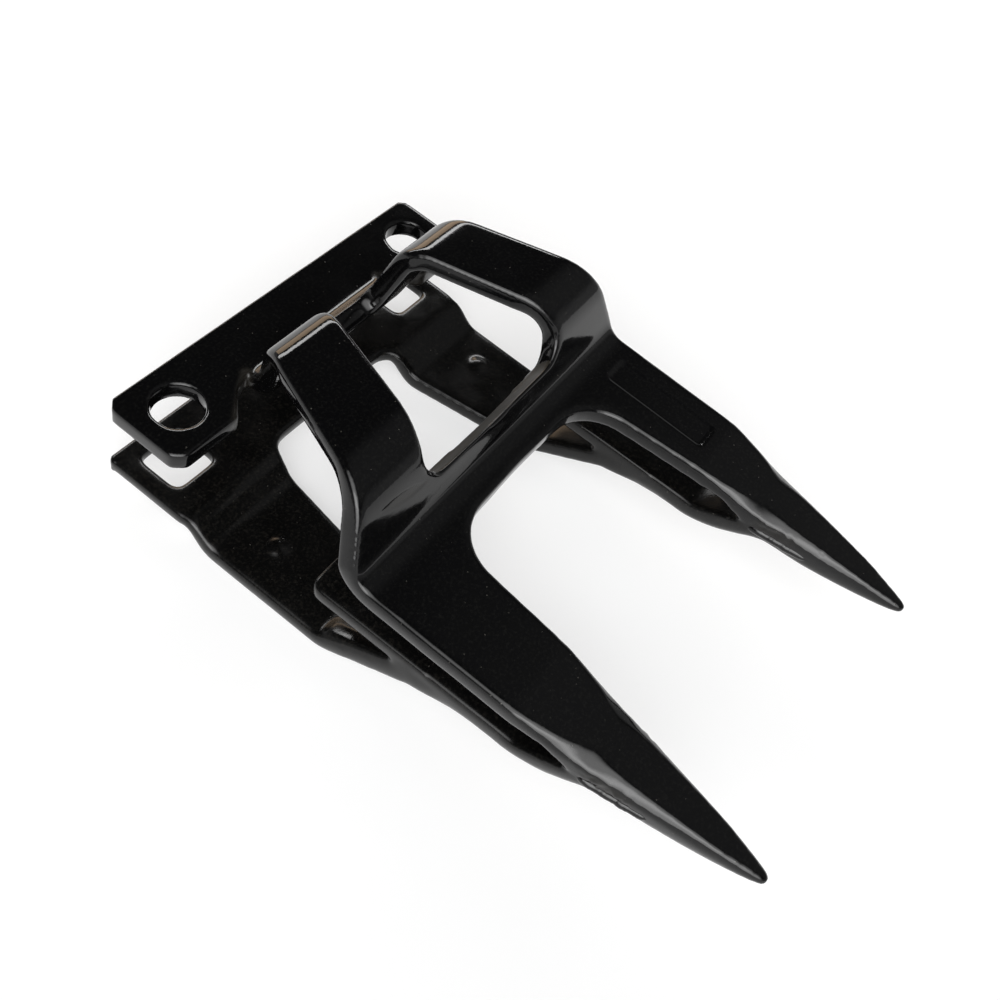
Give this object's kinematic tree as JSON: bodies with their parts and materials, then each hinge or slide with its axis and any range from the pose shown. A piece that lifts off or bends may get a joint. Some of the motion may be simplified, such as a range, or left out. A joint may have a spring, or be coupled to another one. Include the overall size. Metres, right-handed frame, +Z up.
{
  "type": "mower knife guard",
  "caption": "Gloss black double knife guard for a mower cutterbar: two steel forgings welded at the noses, with humped upper arms, knife slots and a bolting plate.",
  "frame": {"origin": "midpoint between the two round bolt holes, on the upper plate's top face", "axes": "+Z up, along the bolts; +Y to the rear, away from the fingers; +X to the right along the bolt row"},
  "size_m": [0.0972, 0.1557, 0.0504],
  "materials": {
    "black_paint": "gloss"
  },
  "bodies": {
    "root": {"upper_guard": "black_paint", "lower_guard": "black_paint", "tip_welds": "black_paint"}
  },
  "joints": []
}
